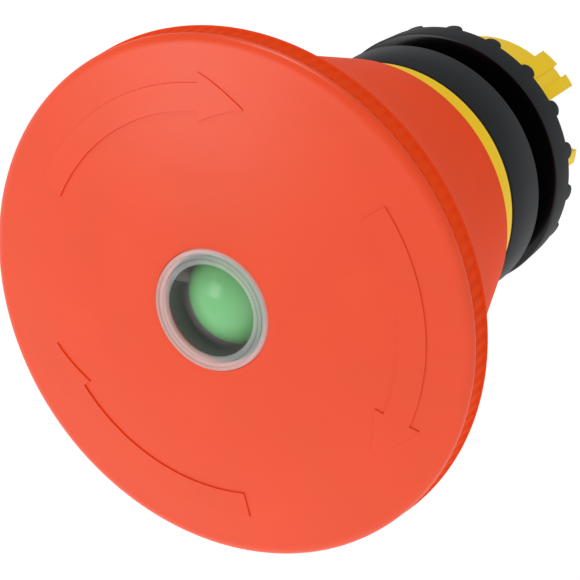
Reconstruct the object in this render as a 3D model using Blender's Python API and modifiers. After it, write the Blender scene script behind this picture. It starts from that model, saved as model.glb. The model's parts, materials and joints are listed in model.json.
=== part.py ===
"""Emergency stop button with a 60 mm palm head, turn to release, for a 22 mm panel hole.

The button stands out of its panel along -Y and its barrel passes through the panel along +Y. The origin is on
the button's axis, in the plane of the panel's front face. The pieces are modelled in a working frame whose +Z is
the height in front of the panel; the empty button_frame turns that frame so that +Z becomes -Y.
"""

import math

import bmesh
import bpy
from mathutils import Matrix, Vector

MM = 0.001

# ---------------------------------------------------------------- driving dimensions, millimetres and degrees
PALM_DIAMETER = 60.0
FACE_RADIUS = 108.0  # the palm's gently crowned face
FACE_WALL = 2.2
RIM_BAND = 2.6  # height of the gripping band round the palm
RIM_RECESS = 0.15  # the gripping band lies this far inside the rim in front of it and the edge behind it
COLLAR_DIAMETER = 30.4
COLLAR_HEIGHT = 6.1
SIGNAL_RING_HEIGHT = 5.4
GASKET_THICKNESS = 0.9
PANEL_THICKNESS = 3.0
NUT_DIAMETER = 30.6
NUT_HEIGHT = 3.7
NUT_KNOBS = 18
KNOB_R = 1.0
STEM_DIAMETER = 10.0
STEM_WALL = 2.3
BALL_DIAMETER = 11.8  # two-coloured indicator ball
TRAVEL = 4.5
TWIST_ANGLE = 35.0
TRIP_ANGLE = 30.0  # the trip sleeve turns this far over the whole travel
BARREL_LENGTH = 11.0  # behind the panel seat

# ---------------------------------------------------------------- clearances and walls
GAP = 0.3
SEAT_GAP = 0.2  # between pieces that are clamped or pressed together
SPINDLE_GAP = 0.5
SKIRT_GAP = 0.5
SLEEVE_WALL = 1.6
SPRING_ROOM = 1.0
HOUSING_WALL = 1.0
BARREL_WALL = 1.7
SKIRT_WALL = 1.4
NECK_SLOPE = 0.36  # the neck widens this much for each millimetre of height, then flares out to the rim
FLARE_POWER = 5.0
HUB_WALL = 2.0
FLOOR = 2.0
SECTOR_STEP = 7.0  # degrees for each facet of a block bent round the axis

# ---------------------------------------------------------------- radii, worked outwards from the stem
STEM_R = STEM_DIAMETER / 2
STEM_BORE_R = STEM_R - STEM_WALL
SPINDLE_R = STEM_BORE_R - SPINDLE_GAP
SLEEVE_IN_R = STEM_R + GAP
SLEEVE_OUT_R = SLEEVE_IN_R + SLEEVE_WALL
HOUSING_IN_R = SLEEVE_OUT_R + SPRING_ROOM
HOUSING_OUT_R = HOUSING_IN_R + HOUSING_WALL
BARREL_IN_R = HOUSING_OUT_R + GAP
BARREL_R = BARREL_IN_R + BARREL_WALL
COLLAR_R = COLLAR_DIAMETER / 2
SPIGOT_R = COLLAR_R - 1.8
SKIRT_IN_R = COLLAR_R + SKIRT_GAP
SKIRT_OUT_R = SKIRT_IN_R + SKIRT_WALL
NUT_R = NUT_DIAMETER / 2
PALM_R = PALM_DIAMETER / 2

# ---------------------------------------------------------------- radii of the indicator, from the ball outwards
BALL_R = BALL_DIAMETER / 2
DOME_IN_R = BALL_R + GAP
DOME_OUT_R = DOME_IN_R + 0.6
APERTURE_R = BALL_R - 0.7
WINDOW_TUBE_R = APERTURE_R + 1.0
WINDOW_R = WINDOW_TUBE_R + 0.65
WINDOW_BORE_R = WINDOW_R + GAP
LEDGE_R = WINDOW_TUBE_R + GAP
RACK_X = BALL_R + 0.6  # the rack and its pinion stand beside the ball
RACK_WIDTH = 1.2
RACK_TEETH_PITCH = 1.0
PINION_TEETH = 9
PINION_PITCH_R = TRAVEL / math.pi  # half a turn over the travel
PRESSURE_ANGLE = math.radians(28)
TOOTH_ADDENDUM = 0.255
TOOTH_DEDENDUM = 0.35
TOOTH_THICKNESS = 0.42
RACK_BACK = PINION_PITCH_R + 1.87
AXLE_R = 0.7
SOCKET_IN_R = STEM_R + 1.7
SOCKET_OUT_R = SOCKET_IN_R + 1.7
HUB_IN_R = max(math.hypot(RACK_X + RACK_WIDTH, RACK_BACK), SOCKET_OUT_R) + 0.5
HUB_OUT_R = HUB_IN_R + HUB_WALL
SCREW_R = 1.05
BOSS_R = SCREW_R + 1.2
SCREW_CIRCLE_R = HUB_OUT_R + BOSS_R + 0.4
SCREW_HEAD_R = 2.0
HUB_SCREWS = 3

# ---------------------------------------------------------------- heights in front of the panel, worked upwards
COLLAR_BOTTOM = GASKET_THICKNESS + SEAT_GAP
COLLAR_TOP = COLLAR_BOTTOM + COLLAR_HEIGHT
RING_BOTTOM = COLLAR_TOP + GAP
RING_TOP = RING_BOTTOM + SIGNAL_RING_HEIGHT
FRONT = RING_TOP + GAP  # front face of the barrel
SKIRT_BOTTOM = RING_BOTTOM + TRAVEL + 0.1  # the pressed head hides the signal ring
SOCKET_BOTTOM = FRONT + TRAVEL + 0.8
TWIST_SPRING_ROOM = 4.2
CLIP_THICKNESS = 1.0
CLIP_BOTTOM = SOCKET_BOTTOM + TWIST_SPRING_ROOM
CLIP_TOP = CLIP_BOTTOM + CLIP_THICKNESS
FLANGE_BOTTOM = CLIP_TOP + GAP
STEM_TOP = FLANGE_BOTTOM + 1.6
HUB_BOTTOM = STEM_TOP + GAP
CAVITY_BOTTOM = HUB_BOTTOM + FLOOR
ARM_BOTTOM = CAVITY_BOTTOM + GAP
ARM_TOP = ARM_BOTTOM + 2.0
BALL_CENTRE = ARM_TOP + TRAVEL + 0.4 + BALL_R
WINDOW_TOP = BALL_CENTRE + DOME_OUT_R + 0.45
WINDOW_FLANGE = 0.8
WINDOW_SEAT = WINDOW_TOP - WINDOW_FLANGE - SEAT_GAP
RACK_TOP = BALL_CENTRE + 0.6 * RACK_TEETH_PITCH
FACE_HEIGHT = WINDOW_TOP - 0.35 + WINDOW_BORE_R**2 / (2 * FACE_RADIUS)  # on the axis, if the face had no hole
LEDGE_BOTTOM = RACK_TOP + TRAVEL + GAP
SHOULDER_R = PALM_R - 1.7
SHOULDER_DROP = 1.15
HUB_FLANGE_TOP = BALL_CENTRE + 1.4
HUB_FLANGE_BOTTOM = HUB_FLANGE_TOP - 1.6
SCREW_TIP = HUB_FLANGE_TOP + 1.9

# ---------------------------------------------------------------- the three raised arrows of the face
ARROW_RISE = 0.25
ARROW_MIDDLE_R = PALM_R - 6.45
ARROW_IN_R = ARROW_MIDDLE_R - 1.5
ARROW_OUT_R = ARROW_MIDDLE_R + 1.5
ARROW_HEAD_IN_R = ARROW_MIDDLE_R - 2.7
ARROW_HEAD_OUT_R = ARROW_MIDDLE_R + 2.6
ARROW_TIP_R = ARROW_MIDDLE_R - 0.45  # the tip bends inwards a little
ARROW_TAIL = 157.4  # degrees, counted from the right towards the top
ARROW_NECK = 97.2
ARROW_TIP = 83.4

# ---------------------------------------------------------------- heights behind the panel (negative)
NUT_TOP = -PANEL_THICKNESS
NUT_BOTTOM = NUT_TOP - NUT_HEIGHT
BARREL_END = -BARREL_LENGTH
HOUSING_RIM_TOP = BARREL_END - GAP
HOUSING_RIM_BOTTOM = HOUSING_RIM_TOP - 1.1
SEAL_POCKET_TOP = FRONT - 2.2
SEAL_POCKET_BOTTOM = SEAL_POCKET_TOP - 2.4
RETAINER_TOP = SEAL_POCKET_BOTTOM - GAP
RETAINER_BOTTOM = RETAINER_TOP - 1.0
HOUSING_TOP = RETAINER_BOTTOM - GAP
HOUSING_FRONT_WALL = 1.2
SLEEVE_TOP = HOUSING_TOP - HOUSING_FRONT_WALL - 0.4
PIN_R = 0.8
SLOT_EXTRA_ANGLE = 10.0  # room for the pin at each end of its slot
SLOT_WIDTH = 3.1  # along the axis
TRIP_LEAD = TRAVEL / TRIP_ANGLE  # millimetres of travel for each degree of the sleeve
PIN_HEIGHT = SLEEVE_TOP - 1.2 - SLOT_WIDTH / 2 - SLOT_EXTRA_ANGLE * TRIP_LEAD
SLEEVE_BOTTOM = PIN_HEIGHT - TRAVEL - SLOT_EXTRA_ANGLE * TRIP_LEAD - SLOT_WIDTH / 2 - 1.25
KEY_THICKNESS = 1.4
KEY_WIDTH = 1.8
KEY_TOP = SLEEVE_BOTTOM - 0.7
KEY_BOTTOM = KEY_TOP - KEY_THICKNESS
DOG_BOTTOM = KEY_BOTTOM - 0.1
BEARING_TOP = DOG_BOTTOM - 0.2
BEARING_BOTTOM = BEARING_TOP - 1.1
SPINDLE_BOTTOM = KEY_BOTTOM - 0.9
STEM_BORE_BOTTOM = SPINDLE_BOTTOM - GAP
STEM_BOTTOM = STEM_BORE_BOTTOM - 1.4
PUSHER_TOP = STEM_BOTTOM - GAP
PUSHER_BOTTOM = PUSHER_TOP - 2.0
CLIP_GROOVE_HEIGHT = -6.6  # snap ring of the inner housing
SEAL_POCKET_R = BARREL_IN_R - 1.2
STUD_HOLE_R = 1.4
RIB_WIDTH = 2.8
RIB_HEIGHT = 1.2
TWIST_LEG_ANGLE = 60.0


# ---------------------------------------------------------------- tools
def cleared_scene():
    for obj in list(bpy.data.objects):
        bpy.data.objects.remove(obj, do_unlink=True)


def new_collection(name):
    collection = bpy.data.collections.new(name)
    bpy.context.scene.collection.children.link(collection)
    return collection


def new_material(name, colour, roughness, metallic=0.0, transmission=0.0):
    material = bpy.data.materials.new(name)
    material.use_nodes = True
    shader = material.node_tree.nodes["Principled BSDF"]
    shader.inputs["Base Color"].default_value = (*colour, 1.0)
    shader.inputs["Roughness"].default_value = roughness
    shader.inputs["Metallic"].default_value = metallic
    shader.inputs["Transmission Weight"].default_value = transmission
    return material


def smoothed(mesh):
    mesh.shade_smooth()
    mesh.set_sharp_from_angle(angle=math.radians(30))


def placed(name, data, material, parent, collection=None):
    """An object in the working frame, one of the button's pieces unless another collection is named."""
    obj = bpy.data.objects.new(name, data)
    (collection or PIECES).objects.link(obj)
    obj.parent = parent
    if material:
        data.materials.append(material)
    return obj


def turned(name, profile, steps, material, parent, closed=True, collection=None):
    """A profile of (radius, height) points, down its outer side, turned about the button's axis."""
    mesh = bpy.data.meshes.new(name)
    points = [(radius * MM, 0.0, height * MM) for radius, height in profile]
    edges = [(i, i + 1) for i in range(len(points) - 1)]
    if closed:
        edges.append((len(points) - 1, 0))
    mesh.from_pydata(points, edges, [])
    obj = placed(name, mesh, material, parent, collection)
    screw = obj.modifiers.new("turn", "SCREW")
    screw.axis = "Z"
    screw.angle = math.tau
    screw.steps = screw.render_steps = steps
    screw.use_merge_vertices = True
    screw.merge_threshold = 0.00001
    screw.use_smooth_shade = True
    return obj


def ring(name, inner, outer, bottom, top, steps, material, parent, chamfer=0.0, collection=None):
    """A plain turned ring, its outer corners broken by a chamfer."""
    corners = [(inner, top), (outer - chamfer, top), (outer, top - chamfer)]
    corners += [(outer, bottom + chamfer), (outer - chamfer, bottom), (inner, bottom)]
    if not chamfer:
        corners = [(inner, top), (outer, top), (outer, bottom), (inner, bottom)]
    return turned(name, corners, steps, material, parent, collection=collection)


def from_bmesh(name, shape, material, parent, collection=None):
    mesh = bpy.data.meshes.new(name)
    bmesh.ops.recalc_face_normals(shape, faces=shape.faces[:])
    shape.to_mesh(mesh)
    shape.free()
    smoothed(mesh)
    return placed(name, mesh, material, parent, collection)


def rod(name, radius, bottom, top, sides, material, parent, collection=None, chamfer=0.0):
    """A cylinder along the working frame's Z, its two ends broken by a chamfer."""
    shape = bmesh.new()
    move = Matrix.Translation((0, 0, (bottom + top) / 2 * MM))
    bmesh.ops.create_cone(
        shape, cap_ends=True, segments=sides, radius1=radius * MM, radius2=radius * MM,
        depth=(top - bottom) * MM, matrix=move,
    )
    if chamfer:
        rims = [e for e in shape.edges if abs(e.verts[0].co.z - e.verts[1].co.z) < 1e-7]
        bmesh.ops.bevel(shape, geom=rims, offset=chamfer * MM, segments=1, affect="EDGES")
    return from_bmesh(name, shape, material, parent, collection)


def block(name, low, high, material, parent, collection=None):
    """A box between two corners."""
    low, high = Vector(low) * MM, Vector(high) * MM
    shape = bmesh.new()
    size = Matrix.Diagonal((*(high - low), 1.0))
    bmesh.ops.create_cube(shape, size=1.0, matrix=Matrix.Translation((low + high) / 2) @ size)
    return from_bmesh(name, shape, material, parent, collection)


def sector(name, inner, outer, bottom, top, start, sweep, material, parent, collection=None, rise=0.0):
    """A block bent round the axis from start over sweep degrees, climbing by rise like a screw thread."""
    shape = bmesh.new()
    corners = [(inner, bottom), (outer, bottom), (outer, top), (inner, top)]
    face = shape.faces.new([shape.verts.new((r * MM, 0.0, h * MM)) for r, h in corners])
    bmesh.ops.rotate(shape, verts=shape.verts[:], cent=(0, 0, 0),
                     matrix=Matrix.Rotation(math.radians(start), 3, "Z"))
    steps = max(2, round(abs(sweep) / SECTOR_STEP))
    geometry = [face, *face.edges, *face.verts]
    bmesh.ops.spin(shape, geom=geometry, cent=(0, 0, 0), axis=(0, 0, 1), angle=math.radians(sweep),
                   dvec=(0, 0, rise / steps * MM), steps=steps)
    return from_bmesh(name, shape, material, parent, collection)


def extruded(name, outline, thickness, material, parent, collection=None):
    """A flat outline made a solid of the given thickness, centred on its own plane, as a mesh."""
    curve = bpy.data.curves.new(name, "CURVE")
    curve.dimensions = "2D"
    curve.fill_mode = "BOTH"
    curve.extrude = thickness / 2 * MM
    spline = curve.splines.new("POLY")
    spline.points.add(len(outline) - 1)
    for point, (x, y) in zip(spline.points, outline):
        point.co = (x * MM, y * MM, 0.0, 1.0)
    spline.use_cyclic_u = True
    source = placed(name + "_outline", curve, None, parent, TOOLS)
    bpy.context.view_layer.update()
    evaluated = source.evaluated_get(bpy.context.evaluated_depsgraph_get())
    shape = bmesh.new()
    shape.from_mesh(bpy.data.meshes.new_from_object(evaluated))
    bmesh.ops.remove_doubles(shape, verts=shape.verts[:], dist=0.000001)
    bpy.data.objects.remove(source, do_unlink=True)
    return from_bmesh(name, shape, material, parent, collection)


def coil(name, path, wire, material, parent):
    """A spring of round wire along a list of points."""
    curve = bpy.data.curves.new(name, "CURVE")
    curve.dimensions = "3D"
    curve.bevel_depth = wire / 2 * MM
    curve.bevel_resolution = 2
    curve.use_fill_caps = True
    spline = curve.splines.new("POLY")
    spline.points.add(len(path) - 1)
    for point, place in zip(spline.points, path):
        point.co = (*(Vector(place) * MM), 1.0)
    return placed(name, curve, material, parent)


def helix(radius, bottom, top, turns, per_turn, start=0.0):
    """Points of a helix from bottom to top, starting at the angle start in degrees."""
    count = round(turns * per_turn)
    points = []
    for i in range(count + 1):
        angle = math.radians(start) + math.tau * turns * i / count
        height = bottom + (top - bottom) * i / count
        points.append((radius * math.cos(angle), radius * math.sin(angle), height))
    return points


def combined(obj, other, operation):
    """Adds a live Boolean; the operand is kept as a hidden tool."""
    other.hide_render = True
    other.display_type = "WIRE"
    boolean = obj.modifiers.new(operation.lower(), "BOOLEAN")
    boolean.operation = operation
    boolean.solver = "EXACT"
    boolean.object = other


def cut(obj, tool):
    combined(obj, tool, "DIFFERENCE")


def join(obj, tool):
    combined(obj, tool, "UNION")


def turned_to(obj, angle):
    """Turns an object about the button's axis, in degrees."""
    obj.rotation_euler.z = math.radians(angle)
    return obj


def on_circle(radius, angle):
    angle = math.radians(angle)
    return (radius * math.cos(angle) * MM, radius * math.sin(angle) * MM, 0.0)


def face_height(radius):
    """Height of the palm's crowned face."""
    return FACE_HEIGHT - radius**2 / (2 * FACE_RADIUS)


# ---------------------------------------------------------------- the head
def arrow_outline():
    """Curved arrow that points clockwise, seen from the front."""
    def at(radius, angle):
        angle = math.radians(angle)
        return (radius * math.cos(angle), radius * math.sin(angle))

    angles = [ARROW_TAIL + (ARROW_NECK - ARROW_TAIL) * i / 8 for i in range(9)]
    outline = [at(ARROW_OUT_R, angle) for angle in angles]
    outline += [at(ARROW_HEAD_OUT_R, ARROW_NECK), at(ARROW_TIP_R, ARROW_TIP)]
    outline += [at(ARROW_HEAD_IN_R, ARROW_NECK)]
    return outline + [at(ARROW_IN_R, angle) for angle in angles[::-1]]


def palm_cap():
    """Crowned disc with a spigot for the skirt, screw bosses and two ribs that close the axle's notches."""
    rim_height = face_height(SHOULDER_R) - SHOULDER_DROP
    spigot_out = PALM_R - 2.4
    spigot_in = spigot_out - 1.4
    pocket_r = HUB_IN_R + 0.5
    radii = [WINDOW_BORE_R + (SHOULDER_R - WINDOW_BORE_R) * i / 4 for i in range(5)]
    profile = [(r, face_height(r)) for r in radii]
    profile += [(SHOULDER_R + 0.75, face_height(SHOULDER_R) - 0.25), (PALM_R - 0.15, rim_height + 0.45)]
    profile += [(PALM_R, rim_height + 0.1), (PALM_R, rim_height), (spigot_out, rim_height)]
    profile += [(spigot_out, rim_height - 1.9), (spigot_in, rim_height - 1.9)]
    under = [spigot_in + (pocket_r - spigot_in) * i / 2 for i in range(3)]
    profile += [(r, face_height(r) - FACE_WALL) for r in under]
    profile += [(pocket_r, LEDGE_BOTTOM), (LEDGE_R, LEDGE_BOTTOM)]
    profile += [(LEDGE_R, WINDOW_SEAT), (WINDOW_BORE_R, WINDOW_SEAT)]
    cap = turned("palm_cap", profile, 48, RED, HEAD)
    for i in range(HUB_SCREWS):
        angle = 90 + i * 360 / HUB_SCREWS
        boss_top = face_height(SCREW_CIRCLE_R) - FACE_WALL / 2
        boss = rod(f"cap_boss_{i + 1}", BOSS_R, HUB_FLANGE_TOP + GAP, boss_top, 16, RED, HEAD, TOOLS)
        hole = rod(f"cap_boss_hole_{i + 1}", SCREW_R + GAP, HUB_FLANGE_TOP - 1, SCREW_TIP + GAP, 12, RED, HEAD,
                   TOOLS)
        boss.location = hole.location = on_circle(SCREW_CIRCLE_R, angle)
        join(cap, boss)
        cut(cap, hole)
    for side in (-1, 1):
        near, far = sorted((side * (HUB_IN_R + 0.2), side * (HUB_OUT_R - 0.2)))
        rib_top = face_height(HUB_OUT_R) - FACE_WALL / 2
        low = (near, -AXLE_R, BALL_CENTRE + AXLE_R + GAP)
        join(cap, block(f"cap_rib_{side}", low, (far, AXLE_R, rib_top), RED, HEAD, TOOLS))
    raised = [(r, face_height(r) + ARROW_RISE) for r in (ARROW_HEAD_IN_R - 1, ARROW_IN_R, ARROW_OUT_R,
                                                         ARROW_HEAD_OUT_R + 1)]
    sunk = [(r, height - ARROW_RISE - FACE_WALL / 2) for r, height in raised[::-1]]
    for i in range(3):
        arrow = extruded(f"arrow_{i + 1}", arrow_outline(), 3 * FACE_WALL, RED, HEAD, TOOLS)
        arrow.location.z = face_height(ARROW_OUT_R) * MM
        turned_to(arrow, -120 * i)
        band = turned(f"arrow_band_{i + 1}", raised + sunk, 48, RED, HEAD, collection=TOOLS)
        combined(arrow, band, "INTERSECT")
        join(cap, arrow)
    return cap


def palm_skirt():
    """Rim band and trumpet-shaped neck, one moulding that snaps on the cap's spigot."""
    rim_top = face_height(SHOULDER_R) - SHOULDER_DROP - SEAT_GAP
    rim_bottom = rim_top - RIM_BAND
    band_r = PALM_R - RIM_RECESS
    bore_r = PALM_R - 2.1
    mouth_r = PALM_R - 0.5
    mouth_height = rim_bottom - 0.3
    neck_height = SKIRT_BOTTOM + 0.3
    length = mouth_height - neck_height
    flare = mouth_r - SKIRT_OUT_R - NECK_SLOPE * length
    outer, inner = [], []
    for i in range(9):
        along = 1 - i / 8
        radius = SKIRT_OUT_R + NECK_SLOPE * length * along + flare * along**FLARE_POWER
        height = neck_height + length * along
        slope = NECK_SLOPE + flare / length * FLARE_POWER * along ** (FLARE_POWER - 1)
        wall = SKIRT_WALL / math.hypot(1, slope)
        outer.append((radius, height))
        if radius - wall < bore_r:
            inner.append((radius - wall, height + wall * slope))
    profile = [(bore_r, rim_top), (band_r, rim_top), (band_r, rim_bottom + 0.5), (PALM_R, rim_bottom + 0.35)]
    profile += [(PALM_R, rim_bottom + 0.15), (PALM_R - 0.25, rim_bottom)] + outer
    profile += [(SKIRT_OUT_R - 0.3, SKIRT_BOTTOM), (SKIRT_IN_R, SKIRT_BOTTOM)]
    profile += inner[::-1] + [(bore_r, rim_bottom - 0.2)]
    return turned("palm_skirt", profile, 48, RED, HEAD)


def indicator_window():
    """Clear ring and tube with a dome that covers the indicator ball."""
    def dome(radius, r):
        return BALL_CENTRE + math.sqrt(radius**2 - r**2)

    outer = [(APERTURE_R * i / 4, dome(DOME_OUT_R, APERTURE_R * i / 4)) for i in range(5)]
    inner_r = APERTURE_R + 0.1
    inner = [(inner_r * i / 4, dome(DOME_IN_R, inner_r * i / 4)) for i in range(4, -1, -1)]
    bottom = dome(DOME_IN_R, inner_r) - 0.1
    profile = outer + [(APERTURE_R + 0.05, WINDOW_TOP - 0.35), (APERTURE_R + 0.35, WINDOW_TOP)]
    profile += [(WINDOW_R - 0.2, WINDOW_TOP), (WINDOW_R, WINDOW_TOP - 0.2)]
    profile += [(WINDOW_R, WINDOW_TOP - WINDOW_FLANGE), (WINDOW_TUBE_R, WINDOW_TOP - WINDOW_FLANGE)]
    profile += [(WINDOW_TUBE_R, bottom), (inner_r, bottom)] + inner
    return turned("indicator_window", profile, 28, CLEAR, HEAD, closed=False)


def head_hub():
    """Dark hub: ball chamber with notches for the axle, screw flange, floor and the socket of the stem."""
    top = face_height(HUB_OUT_R) - FACE_WALL - GAP
    groove_r = SOCKET_IN_R + 0.9
    flange_r = SCREW_CIRCLE_R + SCREW_HEAD_R
    profile = [(HUB_IN_R, top), (HUB_OUT_R, top), (HUB_OUT_R, HUB_FLANGE_TOP), (flange_r, HUB_FLANGE_TOP)]
    profile += [(flange_r, HUB_FLANGE_BOTTOM), (HUB_OUT_R, HUB_FLANGE_BOTTOM), (HUB_OUT_R, HUB_BOTTOM)]
    profile += [(SOCKET_OUT_R, HUB_BOTTOM), (SOCKET_OUT_R, SOCKET_BOTTOM), (SOCKET_IN_R, SOCKET_BOTTOM)]
    profile += [(SOCKET_IN_R, CLIP_BOTTOM - 0.25), (groove_r, CLIP_BOTTOM - 0.25)]
    profile += [(groove_r, CLIP_TOP + 0.25), (SOCKET_IN_R, CLIP_TOP + 0.25), (SOCKET_IN_R, HUB_BOTTOM)]
    profile += [(SPINDLE_R + 0.4, HUB_BOTTOM), (SPINDLE_R + 0.4, CAVITY_BOTTOM), (HUB_IN_R, CAVITY_BOTTOM)]
    hub = turned("head_hub", profile, 32, DARK, HEAD)
    half = AXLE_R + GAP
    cut(hub, block("axle_notch", (-HUB_OUT_R - 1, -half, BALL_CENTRE - half), (HUB_OUT_R + 1, half, top + 1), DARK,
                   HEAD, TOOLS))
    for i in range(HUB_SCREWS):
        hole = rod(f"flange_hole_{i + 1}", SCREW_R + GAP, HUB_FLANGE_BOTTOM - 1, HUB_FLANGE_TOP + 1, 12, DARK, HEAD,
                   TOOLS)
        hole.location = on_circle(SCREW_CIRCLE_R, 90 + i * 360 / HUB_SCREWS)
        cut(hub, hole)
    notch = block("twist_leg_notch", (SOCKET_IN_R - 1, -0.8, SOCKET_BOTTOM - 1),
                  (SOCKET_OUT_R + 1, 0.8, SOCKET_BOTTOM + 1.5), DARK, HEAD, TOOLS)
    cut(hub, turned_to(notch, TWIST_LEG_ANGLE))
    return hub


def hub_screws():
    """Screws through the hub's flange into the cap's bosses, their heads behind the flange."""
    top = HUB_FLANGE_BOTTOM - SEAT_GAP
    profile = [(0.0, SCREW_TIP), (SCREW_R, SCREW_TIP), (SCREW_R, top), (SCREW_HEAD_R - 0.2, top)]
    profile += [(SCREW_HEAD_R - 0.2, top - 0.9), (SCREW_HEAD_R - 0.5, top - 1.2), (0.0, top - 1.2)]
    for i in range(HUB_SCREWS):
        screw = turned(f"hub_screw_{i + 1}", profile, 12, STEEL, HEAD, closed=False)
        screw.location = on_circle(SCREW_CIRCLE_R, 90 + i * 360 / HUB_SCREWS)


def stem_clip():
    """Split ring in the hub's groove that keeps the stem's flange in its socket."""
    clip = ring("stem_clip", STEM_R + GAP, SOCKET_IN_R + 0.6, CLIP_BOTTOM, CLIP_TOP, 24, STEEL, HEAD)
    split = block("clip_split", (0, -0.9, CLIP_BOTTOM - 1), (SOCKET_OUT_R, 0.9, CLIP_TOP + 1), STEEL, HEAD, TOOLS)
    cut(clip, turned_to(split, 200))
    return clip


def twist_spring():
    """Torsion spring in the hub's socket that turns the head back; its leg lies in the socket's notch."""
    wire = 0.6
    radius = (STEM_R + SOCKET_IN_R) / 2
    low = SOCKET_BOTTOM + wire / 2 + 0.35
    path = helix(radius, low, CLIP_BOTTOM - wire / 2 - 0.35, 4, 12, TWIST_LEG_ANGLE)
    leg_end = Vector(on_circle(SOCKET_OUT_R - 0.2, TWIST_LEG_ANGLE)) / MM
    return coil("twist_spring", [(leg_end.x, leg_end.y, low)] + path, wire, SPRING_STEEL, HEAD)


# ---------------------------------------------------------------- the indicator
def indicator_half(name, material, front):
    """Half of the indicator ball, with half of the axle's bore in its flat face."""
    sign = 1 if front else -1
    shape = bmesh.new()
    bmesh.ops.create_uvsphere(shape, u_segments=28, v_segments=14, radius=BALL_R * MM)
    plane = (0, 0, sign * SEAT_GAP / 2 * MM)
    bmesh.ops.bisect_plane(shape, geom=[*shape.verts, *shape.edges, *shape.faces], plane_co=plane,
                           plane_no=(0, 0, sign), clear_inner=True)
    bmesh.ops.holes_fill(shape, edges=[e for e in shape.edges if e.is_boundary])
    half = from_bmesh(name, shape, material, INDICATOR)
    bore = rod(f"{name}_bore", AXLE_R + 0.2, -BALL_R - 1, BALL_R + 1, 12, material, INDICATOR, TOOLS)
    bore.rotation_euler.y = math.radians(90)
    cut(half, bore)
    return half


def involute_angle(radius, base_radius):
    """How far an involute has turned from its base circle at a radius."""
    roll = math.acos(min(1.0, base_radius / radius))
    return math.tan(roll) - roll


def pinion_outline():
    """Involute teeth, with a gap between two teeth at the side where the rack runs."""
    base = PINION_PITCH_R * math.cos(PRESSURE_ANGLE)
    root = PINION_PITCH_R - TOOTH_DEDENDUM
    tip = PINION_PITCH_R + TOOTH_ADDENDUM
    half_at_pitch = TOOTH_THICKNESS / 2 / PINION_PITCH_R
    flank = []
    for radius in (root, base, (base + tip) / 2, tip):
        turn = half_at_pitch + involute_angle(PINION_PITCH_R, base) - involute_angle(max(radius, base), base)
        flank.append((radius, turn))
    outline = []
    for tooth in range(PINION_TEETH):
        middle = math.radians(90) + math.tau * (tooth + 0.5) / PINION_TEETH
        for radius, turn in flank:
            outline.append((radius * math.cos(middle - turn), radius * math.sin(middle - turn)))
        for radius, turn in flank[::-1]:
            outline.append((radius * math.cos(middle + turn), radius * math.sin(middle + turn)))
    return outline


def indicator_axle():
    """Moulded axle with its pinion."""
    axle = rod("indicator_axle", AXLE_R, -HUB_OUT_R + 0.3, HUB_OUT_R - 0.3, 16, POM, INDICATOR)
    axle.rotation_euler.y = math.radians(90)
    pinion = extruded("axle_pinion", pinion_outline(), RACK_WIDTH, POM, INDICATOR, TOOLS)
    pinion.rotation_euler.y = math.radians(-90)
    pinion.location.x = (RACK_X + RACK_WIDTH / 2) * MM
    join(axle, pinion)
    return axle


# ---------------------------------------------------------------- the release spindle
def rack_outline():
    """Rack in the plane of height and sideways distance; its teeth face the pinion's axis."""
    tip = PINION_PITCH_R - TOOTH_ADDENDUM
    root = PINION_PITCH_R + TOOTH_DEDENDUM
    slope = math.tan(PRESSURE_ANGLE)
    half_tip = TOOTH_THICKNESS / 2 - TOOTH_ADDENDUM * slope
    half_root = TOOTH_THICKNESS / 2 + TOOTH_DEDENDUM * slope
    teeth = round(TRAVEL / RACK_TEETH_PITCH) + 2
    gullets = (0.05, 0.08, 0.06)  # uneven, so that no three corners line up
    points = [(RACK_TOP, RACK_BACK), (RACK_TOP, root + 0.1)]
    for i in range(teeth):
        middle = BALL_CENTRE - i * RACK_TEETH_PITCH
        points += [(middle + half_root, root), (middle + half_tip, tip)]
        points += [(middle - half_tip, tip), (middle - half_root, root)]
        points.append((middle - RACK_TEETH_PITCH / 2, root + gullets[i % 3]))
    return points + [(ARM_BOTTOM + 0.5, root + 0.3), (ARM_BOTTOM + 0.5, RACK_BACK)]


def release_spindle():
    """Rod inside the stem; its arm carries the indicator's rack past the ball."""
    spindle = rod("release_spindle", SPINDLE_R, SPINDLE_BOTTOM, ARM_TOP - 0.5, 20, POM, SPINDLE)
    arm = block("spindle_arm", (-SPINDLE_R - 0.3, -SPINDLE_R - 0.3, ARM_BOTTOM),
                (RACK_X + RACK_WIDTH, RACK_BACK - 0.2, ARM_TOP), POM, SPINDLE, TOOLS)
    rack = extruded("spindle_rack", rack_outline(), RACK_WIDTH - 0.1, POM, SPINDLE, TOOLS)
    rack.rotation_euler.y = math.radians(-90)
    rack.location.x = (RACK_X + RACK_WIDTH / 2) * MM
    join(spindle, arm)
    join(spindle, rack)
    half = KEY_WIDTH / 2 + 0.15
    cut(spindle, block("key_slot", (-SPINDLE_R - 1, -half, KEY_BOTTOM - 0.15),
                       (SPINDLE_R + 1, half, KEY_TOP + 0.15), POM, SPINDLE, TOOLS))
    return spindle


def release_key():
    """Steel key across the spindle; its ends reach between the trip sleeve's dogs."""
    reach = SLEEVE_OUT_R - 0.2
    half = KEY_WIDTH / 2
    key = block("release_key", (-reach, -half, KEY_BOTTOM), (reach, half, KEY_TOP), STEEL, SPINDLE)
    bevel = key.modifiers.new("edges", "BEVEL")
    bevel.width = 0.15 * MM
    bevel.segments = 1
    return key


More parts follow.
